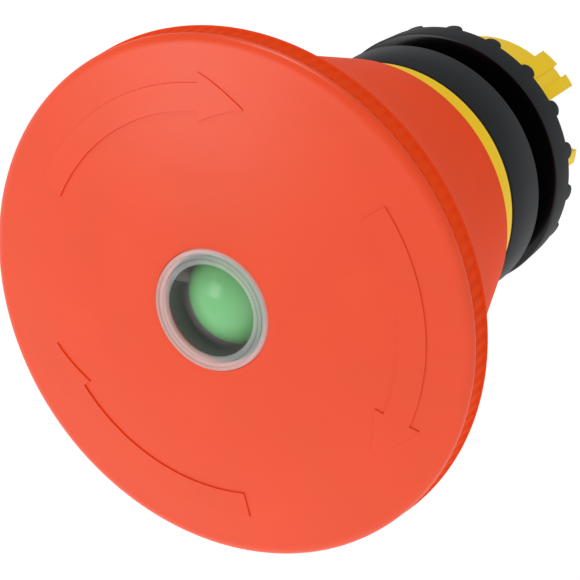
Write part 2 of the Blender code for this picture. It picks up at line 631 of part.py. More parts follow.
# ---------------------------------------------------------------- the plunger
def plunger_stem():
    """Hollow stem with a flange at its front, pin holes and two windows for the release key."""
    profile = [(STEM_BORE_R, STEM_TOP), (STEM_R + 1.4, STEM_TOP), (STEM_R + 1.4, FLANGE_BOTTOM)]
    profile += [(STEM_R, FLANGE_BOTTOM), (STEM_R, STEM_BOTTOM), (STUD_HOLE_R, STEM_BOTTOM)]
    profile += [(STUD_HOLE_R, STEM_BORE_BOTTOM), (STEM_BORE_R, STEM_BORE_BOTTOM)]
    stem = turned("plunger_stem", profile, 28, DARK, PLUNGER)
    hole = rod("pin_hole", PIN_R + 0.15, -STEM_R - 1, STEM_R + 1, 12, DARK, PLUNGER, TOOLS)
    hole.rotation_euler.y = math.radians(90)
    hole.location.z = PIN_HEIGHT * MM
    cut(stem, hole)
    half = math.degrees(math.asin((KEY_WIDTH / 2 + GAP) / STEM_BORE_R)) + 2
    for side in (0, 180):
        window = sector(f"key_window_{side}", STEM_BORE_R - 1.2, STEM_R + 1, KEY_BOTTOM - GAP,
                        KEY_TOP + TRAVEL + GAP, side - TWIST_ANGLE - half, TWIST_ANGLE + 2 * half, DARK, PLUNGER,
                        TOOLS)
        cut(stem, window)
    return stem


def cam_pins():
    """Two steel pins pressed into the stem; they run in the trip sleeve's slots."""
    for name, side in (("cam_pin_right", 1), ("cam_pin_left", -1)):
        pin = rod(name, PIN_R, SPINDLE_R + 0.7, SLEEVE_OUT_R - 0.1, 12, STEEL, PLUNGER)
        pin.rotation_euler.y = math.radians(90 * side)
        pin.location.z = PIN_HEIGHT * MM


def contact_pusher():
    """Rear disc with two pads that press on the contact blocks."""
    radius = HOUSING_IN_R - 0.6
    profile = [(STUD_HOLE_R + GAP, PUSHER_TOP), (radius, PUSHER_TOP), (radius, PUSHER_BOTTOM + 0.3)]
    profile += [(radius - 0.3, PUSHER_BOTTOM), (STUD_HOLE_R + GAP, PUSHER_BOTTOM)]
    pusher = turned("contact_pusher", profile, 28, DARK, PLUNGER)
    for side in (-1, 1):
        near, far = sorted((side * 3.4, side * (radius - 1.0)))
        pad = block(f"pusher_pad_{side}", (near, -2.0, PUSHER_BOTTOM - 1.8), (far, 2.0, PUSHER_BOTTOM + 0.5), DARK,
                    PLUNGER, TOOLS)
        join(pusher, pad)
    return pusher


def pusher_screw():
    """Screw that fastens the pusher to the stem's closed end."""
    seat = PUSHER_BOTTOM - SEAT_GAP
    profile = [(0.0, STEM_BORE_BOTTOM - 0.2), (STUD_HOLE_R - 0.25, STEM_BORE_BOTTOM - 0.2)]
    profile += [(STUD_HOLE_R - 0.25, seat), (2.6, seat), (2.6, seat - 0.8), (2.2, seat - 1.1), (0.0, seat - 1.1)]
    return turned("pusher_screw", profile, 16, STEEL, PLUNGER, closed=False)


# ---------------------------------------------------------------- the fixed pieces
def barrel_body():
    """Collar in front of the panel, spigot for the signal ring, barrel behind the panel and its locating rib."""
    groove_r = BARREL_IN_R + 0.7
    groove_half = 0.6
    profile = [(SLEEVE_IN_R + 0.2, FRONT), (SPIGOT_R, FRONT), (SPIGOT_R, COLLAR_TOP), (COLLAR_R - 0.3, COLLAR_TOP)]
    profile += [(COLLAR_R, COLLAR_TOP - 0.3), (COLLAR_R, COLLAR_BOTTOM + 0.2), (COLLAR_R - 0.2, COLLAR_BOTTOM)]
    profile += [(BARREL_R, COLLAR_BOTTOM), (BARREL_R, BARREL_END + 0.5), (BARREL_R - 0.5, BARREL_END)]
    profile += [(BARREL_IN_R, BARREL_END), (BARREL_IN_R, CLIP_GROOVE_HEIGHT - groove_half)]
    profile += [(groove_r, CLIP_GROOVE_HEIGHT - groove_half), (groove_r, CLIP_GROOVE_HEIGHT + groove_half)]
    profile += [(BARREL_IN_R, CLIP_GROOVE_HEIGHT + groove_half), (BARREL_IN_R, SEAL_POCKET_BOTTOM)]
    profile += [(SEAL_POCKET_R, SEAL_POCKET_BOTTOM), (SEAL_POCKET_R, SEAL_POCKET_TOP)]
    profile += [(SLEEVE_IN_R + 0.2, SEAL_POCKET_TOP)]
    barrel = turned("barrel_body", profile, 36, BLACK, HOUSING)
    rib = block("locating_rib", (-RIB_WIDTH / 2, BARREL_R - 0.8, -1.5),
                (RIB_WIDTH / 2, BARREL_R + RIB_HEIGHT, COLLAR_BOTTOM + 0.5), BLACK, HOUSING, TOOLS)
    join(barrel, rib)
    return barrel


def signal_ring():
    """Yellow ring on the collar's spigot, slightly narrower at its front."""
    profile = [(SPIGOT_R + SEAT_GAP, RING_TOP), (COLLAR_R - 0.6, RING_TOP), (COLLAR_R - 0.3, RING_TOP - 0.3)]
    profile += [(COLLAR_R, RING_BOTTOM), (SPIGOT_R + SEAT_GAP, RING_BOTTOM)]
    return turned("signal_ring", profile, 40, YELLOW, HOUSING)


def panel_gasket():
    """Rubber ring that seals the collar on the panel, notched for the locating rib."""
    gasket = ring("panel_gasket", BARREL_R + GAP, COLLAR_R - 0.7, 0.0, GASKET_THICKNESS, 40, RUBBER, HOUSING)
    notch = block("gasket_notch", (-RIB_WIDTH / 2 - GAP, 0, -1),
                  (RIB_WIDTH / 2 + GAP, BARREL_R + RIB_HEIGHT + GAP, GASKET_THICKNESS + 1), RUBBER, HOUSING, TOOLS)
    cut(gasket, notch)
    return gasket


def fixing_nut():
    """Ring nut on the barrel, with rounded knobs on its rear edge."""
    profile = [(BARREL_R + GAP, NUT_TOP), (NUT_R - 0.3, NUT_TOP), (NUT_R, NUT_TOP - 0.3)]
    profile += [(NUT_R - 0.2, NUT_BOTTOM), (BARREL_R + 1.5, NUT_BOTTOM), (BARREL_R + GAP, NUT_BOTTOM + 0.6)]
    nut = turned("fixing_nut", profile, 2 * NUT_KNOBS, BLACK, HOUSING)
    for i in range(NUT_KNOBS):
        knob = rod(f"nut_knob_{i + 1}", KNOB_R, NUT_R - 2.6, NUT_R - 0.35, 8, BLACK, HOUSING, TOOLS)
        angle = 11 + i * 360 / NUT_KNOBS
        knob.rotation_euler = (0, math.radians(90), math.radians(angle))
        knob.location.z = NUT_BOTTOM * MM
        join(nut, knob)
    return nut


def mechanism_housing():
    """Yellow inner housing: front wall, tube, rear rim, and tongues and lugs that hold the contact carrier."""
    groove_r = HOUSING_OUT_R - 0.5
    groove_half = 0.6
    bore = STEM_R + 0.4
    profile = [(bore, HOUSING_TOP), (HOUSING_OUT_R, HOUSING_TOP)]
    profile += [(HOUSING_OUT_R, CLIP_GROOVE_HEIGHT + groove_half), (groove_r, CLIP_GROOVE_HEIGHT + groove_half)]
    profile += [(groove_r, CLIP_GROOVE_HEIGHT - groove_half), (HOUSING_OUT_R, CLIP_GROOVE_HEIGHT - groove_half)]
    profile += [(HOUSING_OUT_R, HOUSING_RIM_TOP), (BARREL_R - 0.1, HOUSING_RIM_TOP)]
    profile += [(BARREL_R - 0.1, HOUSING_RIM_BOTTOM), (HOUSING_IN_R, HOUSING_RIM_BOTTOM)]
    profile += [(HOUSING_IN_R, HOUSING_TOP - HOUSING_FRONT_WALL), (bore, HOUSING_TOP - HOUSING_FRONT_WALL)]
    housing = turned("mechanism_housing", profile, 36, YELLOW, HOUSING)
    outer = BARREL_R - 0.15
    # start angle, sweep, how far behind the rim it reaches, outer radius; the same again half a turn round
    tongues = ((40, 11, 4.9, outer), (49, 12, 5.8, outer + 0.1), (60, 42, 3.9, outer))
    tongues += ((33, 8, 5.8, outer + 0.15), (-15, 9, 4.1, outer))
    for number, (start, sweep, depth, radius) in enumerate(tongues):
        for side in (0, 180):
            tongue = sector(f"tongue_{number}_{side}", HOUSING_OUT_R + 0.5, radius, HOUSING_RIM_BOTTOM - depth,
                            HOUSING_RIM_BOTTOM + 0.5, start + side, sweep, YELLOW, HOUSING, TOOLS)
            join(housing, tongue)
    return housing


def housing_clip():
    """Snap ring between the barrel and the inner housing."""
    clip = ring("housing_clip", HOUSING_OUT_R - 0.3, BARREL_IN_R + 0.45, CLIP_GROOVE_HEIGHT - 0.4,
                CLIP_GROOVE_HEIGHT + 0.4, 32, STEEL, HOUSING)
    split = block("housing_clip_split", (0, -1.2, CLIP_GROOVE_HEIGHT - 1), (BARREL_R, 1.2, CLIP_GROOVE_HEIGHT + 1),
                  STEEL, HOUSING, TOOLS)
    cut(clip, turned_to(split, 250))
    return clip


def stem_seal():
    """Rubber ring with a lip that wipes the stem."""
    lip = STEM_R + 0.12
    outer = SEAL_POCKET_R - SEAT_GAP
    bottom = SEAL_POCKET_BOTTOM + 0.2
    top = SEAL_POCKET_TOP - GAP
    profile = [(lip + 0.3, top), (outer, top), (outer, bottom), (lip + 1.0, bottom), (lip + 0.5, bottom + 0.7)]
    profile += [(lip, bottom + 1.2)]
    return turned("stem_seal", profile, 28, RUBBER, HOUSING)


def return_spring():
    """Compression spring that pushes the head out, between the barrel's front and the hub."""
    wire = 1.1
    radius = SOCKET_OUT_R + 1.0 + wire / 2
    path = helix(radius, FRONT + GAP + wire / 2, HUB_BOTTOM - GAP - wire / 2, 5, 12)
    return coil("return_spring", path, wire, SPRING_STEEL, HOUSING)


def latch_spring():
    """Fine torsion spring round the trip sleeve."""
    wire = 0.5
    radius = (SLEEVE_OUT_R + HOUSING_IN_R) / 2
    path = helix(radius, SLEEVE_TOP - 3.0, SLEEVE_TOP - 0.4, 4, 12)
    return coil("latch_spring", path, wire, SPRING_STEEL, HOUSING)


def trip_sleeve():
    """Cam sleeve: two helical slots for the stem's pins, and two dogs that the release key drives."""
    sleeve = ring("trip_sleeve", SLEEVE_IN_R, SLEEVE_OUT_R, SLEEVE_BOTTOM, SLEEVE_TOP, 32, POM, TRIP)
    sweep = TRIP_ANGLE + 2 * SLOT_EXTRA_ANGLE
    low = PIN_HEIGHT - TRAVEL - SLOT_EXTRA_ANGLE * TRIP_LEAD
    for side in (0, 180):
        slot = sector(f"cam_slot_{side}", SLEEVE_IN_R - 0.4, SLEEVE_OUT_R + 0.4, low - SLOT_WIDTH / 2,
                      low + SLOT_WIDTH / 2, side - TRIP_ANGLE - SLOT_EXTRA_ANGLE, sweep, POM, TRIP, TOOLS,
                      rise=sweep * TRIP_LEAD)
        cut(sleeve, slot)
        dog = sector(f"sleeve_dog_{side}", SLEEVE_IN_R + 0.1, SLEEVE_OUT_R - 0.1, DOG_BOTTOM, SLEEVE_BOTTOM + 0.5,
                     side + 16, 86, POM, TRIP, TOOLS)
        join(sleeve, dog)
    return sleeve


# ---------------------------------------------------------------- build
cleared_scene()
PIECES = new_collection("emergency_stop_button")
TOOLS = new_collection("construction_tools")

RED = new_material("signal red plastic", (0.82, 0.085, 0.035), 0.42)
YELLOW = new_material("yellow plastic", (0.84, 0.56, 0.02), 0.4)
BLACK = new_material("black plastic", (0.03, 0.032, 0.036), 0.5)
DARK = new_material("dark grey plastic", (0.045, 0.045, 0.042), 0.55)
CLEAR = new_material("clear plastic", (0.95, 0.97, 0.95), 0.05, transmission=0.9)
GREEN = new_material("green plastic", (0.16, 0.6, 0.2), 0.35)
POM = new_material("natural acetal", (0.82, 0.8, 0.74), 0.45)
RUBBER = new_material("black rubber", (0.015, 0.015, 0.015), 0.8)
STEEL = new_material("zinc-plated steel", (0.6, 0.6, 0.58), 0.35, metallic=1.0)
SPRING_STEEL = new_material("spring steel", (0.5, 0.5, 0.49), 0.3, metallic=1.0)


def empty(name, parent=None):
    obj = bpy.data.objects.new(name, None)
    PIECES.objects.link(obj)
    obj.parent = parent
    return obj


FRAME = empty("button_frame")
FRAME.rotation_euler.x = math.radians(90)
HOUSING = empty("housing_axis", FRAME)
PLUNGER = empty("plunger_axis", FRAME)
HEAD = empty("head_axis", FRAME)
SPINDLE = empty("spindle_axis", FRAME)
TRIP = empty("trip_axis", FRAME)
INDICATOR = empty("indicator_axis", FRAME)
INDICATOR.location.z = BALL_CENTRE * MM

barrel_body()
signal_ring()
panel_gasket()
fixing_nut()
mechanism_housing()
housing_clip()
stem_seal()
ring("seal_retainer", STEM_R + 0.5, BARREL_IN_R - GAP, RETAINER_BOTTOM, RETAINER_TOP, 28, DARK, HOUSING)
ring("sleeve_bearing", SLEEVE_IN_R, HOUSING_IN_R - GAP, BEARING_BOTTOM, BEARING_TOP, 28, POM, HOUSING)
return_spring()
latch_spring()
trip_sleeve()
plunger_stem()
cam_pins()
contact_pusher()
pusher_screw()
palm_cap()
palm_skirt()
indicator_window()
head_hub()
hub_screws()
stem_clip()
twist_spring()
indicator_half("indicator_green", GREEN, front=True)
indicator_half("indicator_red", RED, front=False)
indicator_axle()
release_spindle()
release_key()
bpy.context.view_layer.update()
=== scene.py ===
import functools
import json
import math

import bpy
from mathutils import Matrix, Vector


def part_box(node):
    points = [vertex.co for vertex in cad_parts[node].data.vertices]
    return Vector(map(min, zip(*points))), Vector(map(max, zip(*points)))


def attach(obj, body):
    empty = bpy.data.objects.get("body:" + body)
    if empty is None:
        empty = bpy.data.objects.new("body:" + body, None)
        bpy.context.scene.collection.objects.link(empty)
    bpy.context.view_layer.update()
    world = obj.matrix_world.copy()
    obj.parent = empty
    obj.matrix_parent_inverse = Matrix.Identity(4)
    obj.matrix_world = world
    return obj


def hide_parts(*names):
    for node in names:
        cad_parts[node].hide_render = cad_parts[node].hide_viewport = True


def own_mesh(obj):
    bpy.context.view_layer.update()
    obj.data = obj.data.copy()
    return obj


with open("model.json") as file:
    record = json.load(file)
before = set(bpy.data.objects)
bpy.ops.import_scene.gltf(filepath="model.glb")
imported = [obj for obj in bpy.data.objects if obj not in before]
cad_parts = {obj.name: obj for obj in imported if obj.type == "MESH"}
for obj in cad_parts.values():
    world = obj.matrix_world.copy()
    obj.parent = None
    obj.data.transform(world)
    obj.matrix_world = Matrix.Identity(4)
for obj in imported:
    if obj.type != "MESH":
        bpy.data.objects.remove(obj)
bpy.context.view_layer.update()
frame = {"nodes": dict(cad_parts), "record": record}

bl_info = {
    "name": "Emergency Stop Button",
    "version": (1, 0, 0),
    "blender": (4, 5, 0),
    "location": "3D Viewport > Sidebar > Stop Button",
    "description": "Models the shown surfaces of a palm-head emergency stop button on its CAD frame",
    "category": "Object",
}

# The button's axis is world Y. Heights are millimetres in front of the panel, towards -Y.
MM = 0.001


def reach(node):
    """Outer radius, front height and rear height of a CAD node, in millimetres."""
    low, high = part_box(node)
    return high[0] / MM, -low[1] / MM, -high[1] / MM


CAP_R, FACE_TOP, CAP_REAR = reach("palm_cap")
BAND_R, BAND_FRONT, SKIRT_REAR = reach("palm_skirt")
WINDOW_R, WINDOW_FRONT, WINDOW_REAR = reach("indicator_window")
RING_R, RING_FRONT, RING_REAR = reach("signal_ring")
COLLAR_R, BARREL_FRONT, BARREL_REAR = reach("barrel_body")
GASKET_R, GASKET_FRONT, GASKET_REAR = reach("panel_gasket")
NUT_R, NUT_FRONT, NUT_REAR = reach("fixing_nut")
SPRING_R, SPRING_FRONT, SPRING_REAR = reach("return_spring")
SCREW_R, SCREW_FRONT, SCREW_REAR = reach("pusher_screw")
BALL_R = (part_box("indicator_green")[1][2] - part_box("indicator_green")[0][2]) / 2 / MM
BALL_HEIGHT = reach("indicator_green")[1] - BALL_R
BARREL_BORE_R = 9.2
BARREL_R = 10.9
SPIGOT_R = 13.4
LENS_R = WINDOW_R + 0.12
WELD = 0.003 * MM


def linear(hex_colour):
    """An sRGB hex colour as linear red, green, blue."""
    values = [int(hex_colour[i:i + 2], 16) / 255 for i in (1, 3, 5)]
    return tuple(v / 12.92 if v <= 0.04045 else ((v + 0.055) / 1.055) ** 2.4 for v in values)


# ---------------------------------------------------------------- what a user may change
def length_of(name, description, millimetres):
    return bpy.props.FloatProperty(
        name=name, description=description, default=millimetres * MM, unit="LENGTH")


def number_of(name, description, count, least):
    return bpy.props.IntProperty(name=name, description=description, default=count, min=least)


def colour_of(name, description, hex_colour):
    return bpy.props.FloatVectorProperty(
        name=name, description=description, subtype="COLOR", default=linear(hex_colour))


class StopButtonSizes(bpy.types.PropertyGroup):
    crown_radius: length_of("Crown radius", "Radius of the palm's gently domed face", 108)
    arrow_rise: length_of("Arrow rise", "How far the arrows stand off the face", 0.18)
    grip_teeth: number_of("Grip teeth", "Teeth of the knurled band round the palm", 120, 24)
    grip_depth: length_of("Grip depth", "Depth of the grooves between the teeth", 0.14)
    thread_pitch: length_of("Thread pitch", "Pitch of the barrel's thread", 1.5)
    nut_knobs: number_of("Nut knobs", "Rounded knobs on the nut's rear edge", 18, 6)


class StopButtonColours(bpy.types.PropertyGroup):
    palm: colour_of("Palm", "Signal red of the head", "#F04818")
    signal: colour_of("Signal ring", "Yellow of the ring and the inner housing", "#FAD01E")
    collar: colour_of("Collar", "Near-black of the collar and the nut", "#232528")
    ready: colour_of("Ready", "Green side of the indicator", "#4CC45C")
    stopped: colour_of("Stopped", "Red side of the indicator", "#C8261C")


def sizes():
    return bpy.context.scene.stop_button_sizes


def colours():
    return bpy.context.scene.stop_button_colours


# ---------------------------------------------------------------- materials
def add_node(tree, kind, links=(), **settings):
    """Adds a node. Settings name its properties or its inputs; links are (input, output socket) pairs."""
    node = tree.nodes.new(kind)
    for name, value in settings.items():
        if hasattr(node, name):
            setattr(node, name, value)
        else:
            node.inputs[name.replace("_", " ")].default_value = value
    for socket, source in links:
        tree.links.new(source, node.inputs[socket])
    return node


def new_material(name, **shader_settings):
    """A material with its Principled shader's settings, its tree and its shader."""
    material = bpy.data.materials.new(name)
    material.use_nodes = True
    tree = material.node_tree
    shader = tree.nodes["Principled BSDF"]
    for socket, value in shader_settings.items():
        shader.inputs[socket.replace("_", " ")].default_value = value
    return material, tree, shader


def grained(tree, shader, colour, grain_mm, depth, roughness, mottle=0.06):
    """Spark-eroded mould grain: fine bumps, a slightly uneven gloss and a faint cloudiness of the colour."""
    cloud_mm, spread = 9, 0.05
    place = add_node(tree, "ShaderNodeTexCoord").outputs["Object"]
    grain = add_node(tree, "ShaderNodeTexNoise", [("Vector", place)], Scale=1 / (grain_mm * MM), Detail=3.0,
                     Roughness=0.6)
    cloud = add_node(tree, "ShaderNodeTexNoise", [("Vector", place)], Scale=1 / (cloud_mm * MM),
                     Detail=2.0)
    gloss = add_node(tree, "ShaderNodeMapRange", [("Value", cloud.outputs["Fac"])])
    gloss.inputs["To Min"].default_value = roughness - spread
    gloss.inputs["To Max"].default_value = roughness + spread
    tone = add_node(tree, "ShaderNodeMix", [("Factor", cloud.outputs["Fac"])], data_type="RGBA")
    tone.inputs["A"].default_value = (*[c * (1 - mottle) for c in colour], 1)
    tone.inputs["B"].default_value = (*[min(1, c * (1 + mottle)) for c in colour], 1)
    bump = add_node(tree, "ShaderNodeBump", [("Height", grain.outputs["Fac"])], Strength=depth,
                    Distance=0.02 * MM)
    tree.links.new(tone.outputs["Result"], shader.inputs["Base Color"])
    tree.links.new(gloss.outputs["Result"], shader.inputs["Roughness"])
    tree.links.new(bump.outputs["Normal"], shader.inputs["Normal"])


def moulded_plastic(name, colour, roughness, grain_mm=0.35, depth=0.35, **more):
    """An opaque plastic with the grain of its mould."""
    material, tree, shader = new_material(name, IOR=1.5, **more)
    grained(tree, shader, colour, grain_mm, depth, roughness)
    return material


@functools.cache
def red_polyester():
    """Satin PBT moulding: deep colour under a soft, even sheen."""
    return moulded_plastic("Satin red PBT", colours().palm, 0.34, Specular_IOR_Level=0.45)


@functools.cache
def matte_red_polyester():
    """The skirt's PBT, from a more coarsely eroded mould: the same colour, with hardly any sheen."""
    return moulded_plastic("Matte red PBT", colours().palm, 0.6, grain_mm=0.5, Specular_IOR_Level=0.03)


@functools.cache
def yellow_polyester():
    """Yellow PBT moulding, smoother than the head, so its sheen is a little tighter."""
    return moulded_plastic("Yellow PBT", colours().signal, 0.45, Specular_IOR_Level=0.15)


@functools.cache
def black_polyamide():
    """Glass-filled nylon with an eroded surface: dark grey, broad dull highlights."""
    return moulded_plastic("Eroded black polyamide", colours().collar, 0.55, grain_mm=0.3, depth=0.5,
                           Specular_IOR_Level=0.15)


@functools.cache
def shade_painted_polyamide():
    """The same nylon from a mirror-smooth mould, with clear reflections; its nearly black colour is painted
    shade for the faces in the gap between collar and nut.
    """
    return moulded_plastic("Glossy polyamide darkened as painted shade", linear("#060606"), 0.18, depth=0.1,
                           Specular_IOR_Level=0.3)


@functools.cache
def grey_polyamide():
    """Inner mouldings, left as they come from the mould."""
    return moulded_plastic("Dark grey polyamide", linear("#35352F"), 0.5)


@functools.cache
def natural_acetal():
    """Uncoloured POM: milky white with a waxy sheen."""
    return moulded_plastic("Natural acetal", linear("#E6E2D6"), 0.4, Subsurface_Weight=0.15,
                           Subsurface_Scale=0.5 * MM)


@functools.cache
def nitrile_rubber():
    """Moulded seal rubber: black, with the dull gloss of a greased seal."""
    return moulded_plastic("Nitrile rubber", linear("#080808"), 0.4, grain_mm=0.5, depth=0.4,
                           Specular_IOR_Level=0.3)


def polycarbonate(name, opacity):
    """Clear moulding, a little milky, with the faint waviness of a moulded surface."""
    material, tree, shader = new_material(name, Base_Color=(0.88, 0.9, 0.88, 1), Roughness=0.05, IOR=1.58,
                                          Alpha=opacity)
    place = add_node(tree, "ShaderNodeTexCoord").outputs["Object"]
    flow = add_node(tree, "ShaderNodeTexNoise", [("Vector", place)], Scale=1 / (3 * MM), Detail=1.0)
    bump = add_node(tree, "ShaderNodeBump", [("Height", flow.outputs["Fac"])], Strength=0.1,
                    Distance=0.02 * MM)
    tree.links.new(bump.outputs["Normal"], shader.inputs["Normal"])
    return material


def gloss_styrene(name, colour):
    """Glossy coloured moulding of the indicator, hardly grained."""
    return moulded_plastic(name, colour, 0.16, grain_mm=0.8, depth=0.08)


@functools.cache
def green_styrene():
    """The half that shows while the button is out."""
    return gloss_styrene("Glossy green styrene", colours().ready)


@functools.cache
def red_styrene():
    """The half that shows while the button is in."""
    return gloss_styrene("Glossy red styrene", colours().stopped)


@functools.cache
def clear_polycarbonate():
    """Thin polished wall of the window's dome and cup."""
    return polycarbonate("Clear polycarbonate", 0.09)


@functools.cache
def edge_polycarbonate():
    """The window's flange, where the thicker wall looks whiter."""
    return polycarbonate("Flange polycarbonate", 0.3)


@functools.cache
def zinc_plate():
    """Bright zinc on steel: pale blue-grey, finely crystalline."""
    material, tree, shader = new_material("Zinc-plated steel", Metallic=1.0)
    grained(tree, shader, linear("#C3C6C8"), 0.2, 0.4, 0.34, mottle=0.1)
    return material


@functools.cache
def drawn_wire():
    """Oiled spring wire: darker steel with a fine, uneven gloss."""
    material, tree, shader = new_material("Drawn spring wire", Metallic=1.0)
    grained(tree, shader, linear("#8E8F90"), 0.15, 0.3, 0.3, mottle=0.12)
    return material


# ---------------------------------------------------------------- modelling
def spaced(first, last, steps):
    """Evenly spaced values, both ends among them."""
    return [first + (last - first) * i / steps for i in range(steps + 1)]


def deselect_all():
    for obj in list(bpy.context.selected_objects):
        obj.select_set(False)


def only(obj):
    deselect_all()
    obj.select_set(True)
    bpy.context.view_layer.objects.active = obj


def started(name):
    """Names the primitive that was just added and puts its place in its mesh."""
    obj = bpy.context.active_object
    obj.name = obj.data.name = name
    bpy.ops.object.transform_apply(location=True, rotation=True, scale=True)
    return obj


def edit(obj):
    only(obj)
    bpy.ops.object.mode_set(mode="EDIT")


def leave():
    bpy.ops.object.mode_set(mode="OBJECT")


def choose(obj, kind, test):
    """Selects the vertices, edges or faces that pass a test, and ends in edit mode."""
    if bpy.context.mode == "OBJECT":
        edit(obj)
    bpy.ops.mesh.select_mode(type=kind)
    bpy.ops.mesh.select_all(action="DESELECT")
    leave()
    found = {"VERT": obj.data.vertices, "EDGE": obj.data.edges, "FACE": obj.data.polygons}[kind]
    for part in found:
        part.select = bool(test(part))
    bpy.ops.object.mode_set(mode="EDIT")


def close_up(obj, angle=35):
    """Turns the faces outwards, leaves edit mode and shades the piece smooth, apart from its corners."""
    if bpy.context.mode == "OBJECT":
        edit(obj)
    bpy.ops.mesh.select_all(action="SELECT")
    bpy.ops.mesh.normals_make_consistent(inside=False)
    leave()
    only(obj)
    bpy.ops.object.shade_smooth_by_angle(angle=math.radians(angle))
    return obj


def radius_of(point):
    return math.hypot(point.x, point.z) / MM


def turned(name, rings, sides=192, ends="bridge"):
    """Starts as a circle and is extruded from ring to ring, each (radius, height) in millimetres.

    ends is bridge, where the last ring meets the first, or collapse, where both ends close on the axis.
    """
    deselect_all()
    radius, height = rings[0]
    bpy.ops.mesh.primitive_circle_add(vertices=sides, radius=radius * MM, location=(0, -height * MM, 0),
                                      rotation=(math.radians(90), 0, 0))
    obj = started(name)
    edit(obj)
    bpy.ops.mesh.select_all(action="SELECT")
    for (radius, height), (next_radius, next_height) in zip(rings, rings[1:]):
        step = (0, (height - next_height) * MM, 0)
        bpy.ops.mesh.extrude_edges_move(TRANSFORM_OT_translate={"value": step})
        grow = next_radius / radius
        bpy.ops.transform.resize(value=(grow, 1, grow), center_override=(0, -next_height * MM, 0))
    if ends == "bridge":
        bpy.ops.mesh.select_all(action="DESELECT")
        bpy.ops.mesh.select_mode(type="EDGE")
        bpy.ops.mesh.select_non_manifold()
        bpy.ops.mesh.bridge_edge_loops()
    else:
        bpy.ops.mesh.merge(type="COLLAPSE")
        first_radius, first_height = rings[0]
        choose(obj, "VERT", lambda v: abs(v.co.y + first_height * MM) < 1e-7
               and abs(radius_of(v.co) - first_radius) < 1e-3)
        bpy.ops.mesh.merge(type="COLLAPSE")
    return close_up(obj)


def softened(obj, width, segments=2, angle=35):
    """Rounds the corners with a bevel."""
    only(obj)
    bpy.ops.object.modifier_add(type="BEVEL")
    bevel = obj.modifiers[-1]
    bevel.width = width * MM
    bevel.segments = segments
    bevel.limit_method = "ANGLE"
    bevel.angle_limit = math.radians(angle)
    bevel.use_clamp_overlap = True
    bpy.ops.object.modifier_apply(modifier=bevel.name)
    return close_up(obj)


def combined(obj, other, operation):
    """Joins another piece on, or cuts it out, removes it and welds the seam."""
    only(obj)
    bpy.ops.object.modifier_add(type="BOOLEAN")
    boolean = obj.modifiers[-1]
    boolean.operation = operation
    boolean.solver = "EXACT"
    boolean.object = other
    bpy.ops.object.modifier_apply(modifier=boolean.name)
    bpy.data.objects.remove(other, do_unlink=True)
    edit(obj)
    bpy.ops.mesh.select_all(action="SELECT")
    bpy.ops.mesh.remove_doubles(threshold=WELD)
    bpy.ops.mesh.dissolve_degenerate(threshold=WELD)
    leave()
    return obj


def block(name, low, high):
    """A box between two corners, in millimetres, with a cube as its start."""
    deselect_all()
    low, high = Vector(low) * MM, Vector(high) * MM
    bpy.ops.mesh.primitive_cube_add(size=1, location=(low + high) / 2)
    obj = bpy.context.active_object
    obj.scale = high - low
    return started(name)


def spun_round(obj, angle):
    """Turns a finished piece about the button's axis; positive is clockwise from the front."""
    obj.data.transform(Matrix.Rotation(math.radians(angle), 4, "Y"))
    return obj


def copy_of(obj, name):
    twin = obj.copy()
    twin.data = obj.data.copy()
    twin.name = twin.data.name = name
    bpy.context.scene.collection.objects.link(twin)
    return twin


def cleaned_copy(node, name):
    """A copy of a CAD node with its loose triangles merged and its flat faces joined."""
    obj = copy_of(frame["nodes"][node], name)
    obj.parent = None
    obj.matrix_world = Matrix.Identity(4)
    edit(obj)
    bpy.ops.mesh.select_all(action="SELECT")
    bpy.ops.mesh.remove_doubles(threshold=0.002 * MM)
    bpy.ops.mesh.dissolve_limited(angle_limit=math.radians(1))
    leave()
    return obj


def finished(obj, material, body, slot, *nodes):
    """Gives a piece its material and its body, and hides the CAD nodes that it stands for. The slot is not
    used.
    """
    obj.data.materials.clear()
    obj.data.materials.append(material)
    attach(obj, body)
    if nodes:
        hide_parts(*nodes)
    return obj


def paint_gap_shade(obj, test):
    """Gives some faces of a black moulding the gloss of a smooth mould wall and a near-black colour that is
    painted shade.
    """
    obj.data.materials.append(shade_painted_polyamide())
    for face in obj.data.polygons:
        if test(face):
            face.material_index = 1


def coil(name, radius, wire, front, rear, turns):
    """A spring: the wire's round section is spun about the axis and drawn out along it."""
    deselect_all()
    around = 12
    bpy.ops.mesh.primitive_circle_add(vertices=around, radius=wire / 2 * MM, fill_type="NGON",
                                      location=(radius * MM, -(front - wire / 2) * MM, 0))
    obj = started(name)
    edit(obj)
    bpy.ops.mesh.select_all(action="SELECT")
    pitch = (front - rear - wire) / turns * MM
    steps = 36 * turns
    bpy.ops.mesh.spin(steps=steps, angle=-math.tau * turns, center=(0, 0, 0), axis=(0, 1, 0), dupli=False)
    leave()
    for vertex in obj.data.vertices:
        step = min(vertex.index // around, steps)
        vertex.co.y += pitch * turns * step / steps
    return close_up(obj, 60)


def face_height(radius):
    """Height of the palm's crowned face, with the faint sink mark over the hub's ring."""
    crown = sizes().crown_radius / MM
    beside_window = WINDOW_R + 0.3
    ring_r, ring_width, sink_depth = 14, 1.3, 0.02
    sink = sink_depth * math.exp(-(((radius - ring_r) / ring_width) ** 2))
    return WINDOW_FRONT - 0.35 + (beside_window**2 - radius**2) / (2 * crown) - sink


